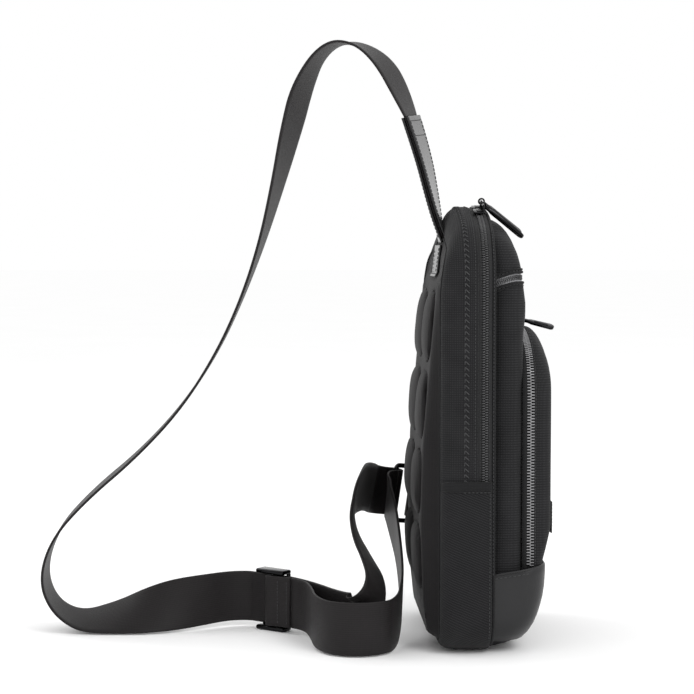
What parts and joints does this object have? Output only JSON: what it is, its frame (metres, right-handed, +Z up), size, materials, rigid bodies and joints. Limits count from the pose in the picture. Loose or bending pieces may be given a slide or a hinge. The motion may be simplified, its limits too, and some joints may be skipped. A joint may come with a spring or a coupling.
{
  "type": "sling bag",
  "caption": "Black sling backpack with a two-way main zip, front pocket, leather base and tab, padded back and an adjustable webbing shoulder strap.",
  "frame": {"origin": "centre of the base panel, on the surface the bag stands on", "axes": "+Z up, -Y towards the front pocket, +X to the left of the wearer"},
  "size_m": [0.1848, 0.3998, 0.4648],
  "materials": {
    "shell_fabric": "matte ballistic weave",
    "twill": "diagonal twill",
    "back_mesh": "matte spacer fabric",
    "leather": "semi gloss grain",
    "webbing": "satin ribbed webbing",
    "zip_tape": "herringbone tape",
    "nylon_coil": "satin",
    "metal_teeth": "gunmetal",
    "hardware": "black chrome",
    "lining": "smooth nylon",
    "board": "matte"
  },
  "bodies": {
    "bag": {"back_inner_panel": "shell_fabric", "back_pad_1_left": "back_mesh", "back_pad_1_right": "back_mesh", "back_pad_2_left": "back_mesh", "back_pad_2_right": "back_mesh", "back_pad_3_left": "back_mesh", "back_pad_3_right": "back_mesh", "back_pad_4_left": "back_mesh", "back_pad_4_right": "back_mesh", "back_panel": "back_mesh", "back_stiffener": "board", "back_yoke": "leather", "base_bumper": "leather", "base_panel": "twill", "base_stiffener": "board", "bottom_gusset": "shell_fabric", "front_binding": "webbing", "front_panel_lower": "shell_fabric", "front_panel_upper": "shell_fabric", "front_pocket_badge": "leather", "front_pocket_face": "shell_fabric", "front_pocket_gusset": "shell_fabric", "front_pocket_lining": "lining", "front_pocket_zip_tape": "zip_tape", "front_pocket_zip_teeth": "metal_teeth", "gusset": "shell_fabric", "main_lining": "lining", "main_zip_coil_front": "nylon_coil", "main_zip_coil_rear": "nylon_coil", "main_zip_tape_front": "zip_tape", "main_zip_tape_rear": "zip_tape", "ring_tab": "webbing", "side_pocket_left": "twill", "side_pocket_right": "twill", "strap_ring_wrap": "webbing", "strap_tab_back": "leather", "strap_tab_front": "leather", "strap_tab_webbing": "webbing", "strap_webbing_long": "webbing", "strap_webbing_short": "webbing", "tablet_divider": "lining", "upper_pocket_bag": "lining", "upper_zip_coil": "nylon_coil", "upper_zip_tape": "zip_tape"},
    "strap_slider": {"slider_frame": "hardware", "slider_bar": "hardware", "strap_end_loop": "webbing"},
    "ring": {"ring": "hardware"},
    "main_slider_left": {"main_slider_left": "hardware"},
    "main_pull_left": {"main_pull_left": "hardware"},
    "main_slider_right": {"main_slider_right": "hardware"},
    "main_pull_right": {"main_pull_right": "hardware"},
    "pocket_slider": {"pocket_slider": "hardware"},
    "pocket_pull": {"pocket_pull": "hardware"},
    "upper_slider": {"upper_slider": "hardware"},
    "upper_pull": {"upper_pull": "hardware"}
  },
  "joints": [
    {"name": "main_zip_left", "type": "hinge", "parent": "bag", "child": "main_slider_left", "pos_m": [0, -0.01, 0.185], "axis": [0, 1, 0], "range_deg": [0, 34]},
    {"name": "main_pull_left", "type": "hinge", "parent": "main_slider_left", "child": "main_pull_left", "pos_m": [-0.03121, -0.013, 0.33841], "axis": [-0.9799, 0, -0.1994], "range_deg": [0, 150]},
    {"name": "main_zip_right", "type": "hinge", "parent": "bag", "child": "main_slider_right", "pos_m": [0, -0.01, 0.185], "axis": [0, 1, 0], "range_deg": [-6.5, 0]},
    {"name": "main_pull_right", "type": "hinge", "parent": "main_slider_right", "child": "main_pull_right", "pos_m": [-0.04446, -0.013, 0.3351], "axis": [-0.9588, 0, -0.284], "range_deg": [0, 150]},
    {"name": "pocket_zip", "type": "hinge", "parent": "bag", "child": "pocket_slider", "pos_m": [0, -0.0455, 0.112], "axis": [0, 1, 0], "range_deg": [-13, 25]},
    {"name": "pocket_pull", "type": "hinge", "parent": "pocket_slider", "child": "pocket_pull", "pos_m": [-0.01474, -0.0455, 0.24765], "axis": [-0.9942, 0, -0.108], "range_deg": [0, 80]},
    {"name": "upper_zip", "type": "slide", "parent": "bag", "child": "upper_slider", "axis": [1, 0, 0], "range_m": [-0.1, 0]},
    {"name": "upper_pull", "type": "hinge", "parent": "upper_slider", "child": "upper_pull", "pos_m": [0.052, -0.04336, 0.28179], "axis": [-1, 0, 0], "range_deg": [0, 100]},
    {"name": "strap_adjust", "type": "slide", "parent": "bag", "child": "strap_slider", "axis": [0.6198, 0.7848, 0], "range_m": [0, 0.005]},
    {"name": "ring_swing", "type": "hinge", "parent": "bag", "child": "ring", "pos_m": [0.08192, 0.03167, 0.09892], "axis": [-0.0334, -0.1433, 0.9891], "range_deg": [-7, 7]}
  ]
}
